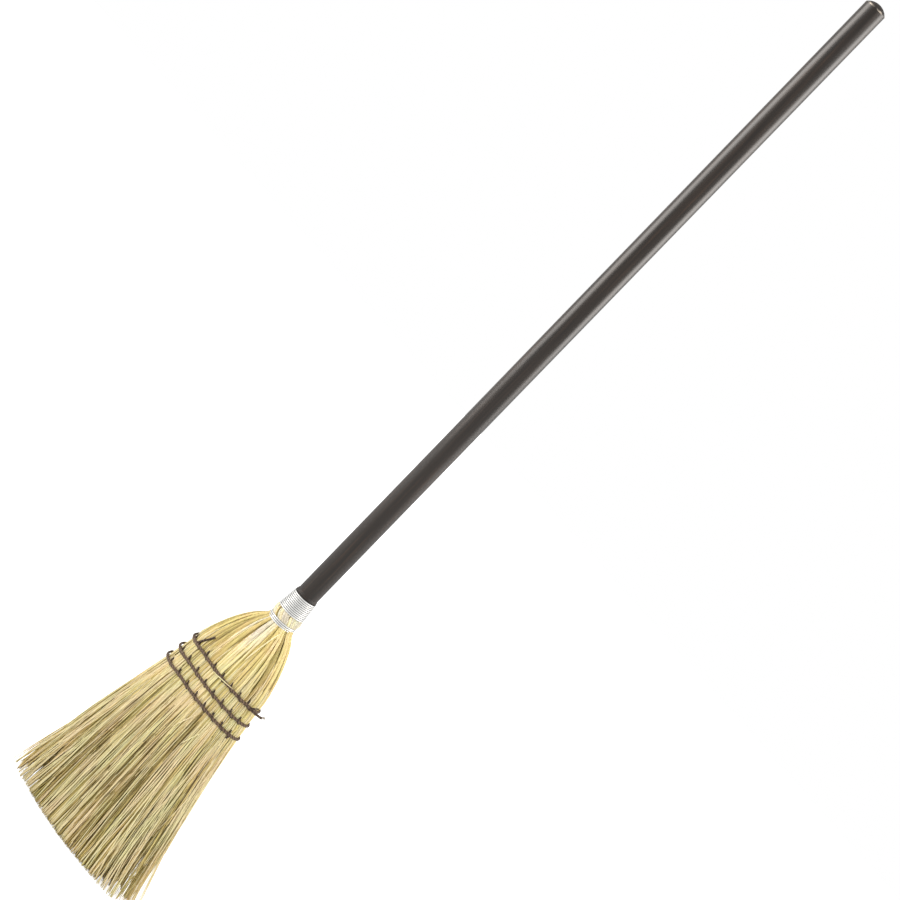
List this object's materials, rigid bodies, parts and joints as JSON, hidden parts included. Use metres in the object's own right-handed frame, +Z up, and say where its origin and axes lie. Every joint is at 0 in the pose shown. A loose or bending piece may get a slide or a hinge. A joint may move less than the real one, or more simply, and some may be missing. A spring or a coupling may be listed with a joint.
{
  "type": "lobby broom",
  "caption": "Short corn broom for lobby sweeping: flared, sewn corn head wired to a straight round wooden handle.",
  "frame": {"origin": "middle of the bristle tips, on the floor the broom stands on, below the handle's axis", "axes": "+Z up along the handle, +X across the width of the head, -Y towards the front of the head"},
  "size_m": [0.1746, 0.0494, 0.99],
  "materials": {
    "lacquered_wood": "semi-gloss black-brown lacquer",
    "galvanised_wire": "bright galvanised",
    "broom_corn": "dry straw",
    "sewing_twine": "dark brown waxed twine"
  },
  "bodies": {
    "root": {"handle": "lacquered_wood", "binding_wire": "galvanised_wire", "wire_tack": "galvanised_wire", "core_corn": "broom_corn", "left_shoulder_corn": "broom_corn", "right_shoulder_corn": "broom_corn", "front_cover_corn": "broom_corn", "back_cover_corn": "broom_corn", "upper_twine": "sewing_twine", "middle_twine": "sewing_twine", "lower_twine": "sewing_twine"}
  },
  "joints": []
}
